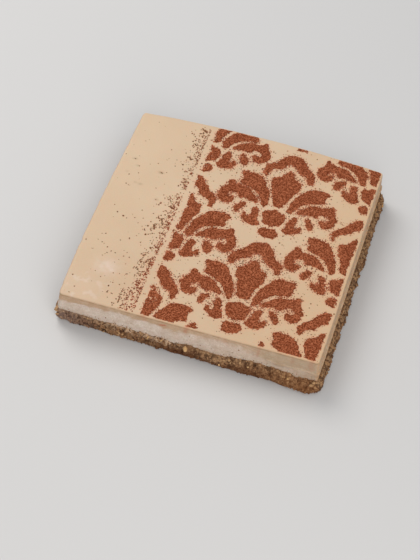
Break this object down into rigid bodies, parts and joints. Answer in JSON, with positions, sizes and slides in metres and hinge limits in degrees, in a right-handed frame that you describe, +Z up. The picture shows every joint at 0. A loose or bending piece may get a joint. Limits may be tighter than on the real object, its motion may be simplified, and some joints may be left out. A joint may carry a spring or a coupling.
{
  "type": "coffee cheesecake",
  "caption": "Square layered coffee cheesecake on a pressed crumb base, its top dusted with cocoa through a damask stencil.",
  "frame": {"origin": "middle of the underside, on the surface the cake stands on", "axes": "+Z up; +X across the cake from its plain side to its cocoa side; -Y towards the viewer of the picture"},
  "size_m": [0.2114, 0.2126, 0.032],
  "materials": {
    "crumb": "rough pressed biscuit crumb",
    "cheesecake": "matt pale cream cheese",
    "coffee_cream": "smooth matt coffee cream",
    "cocoa": "dry sifted cocoa powder"
  },
  "bodies": {
    "root": {"crumb_base": "crumb", "cheesecake_layer": "cheesecake", "coffee_topping": "coffee_cream"}
  },
  "joints": []
}
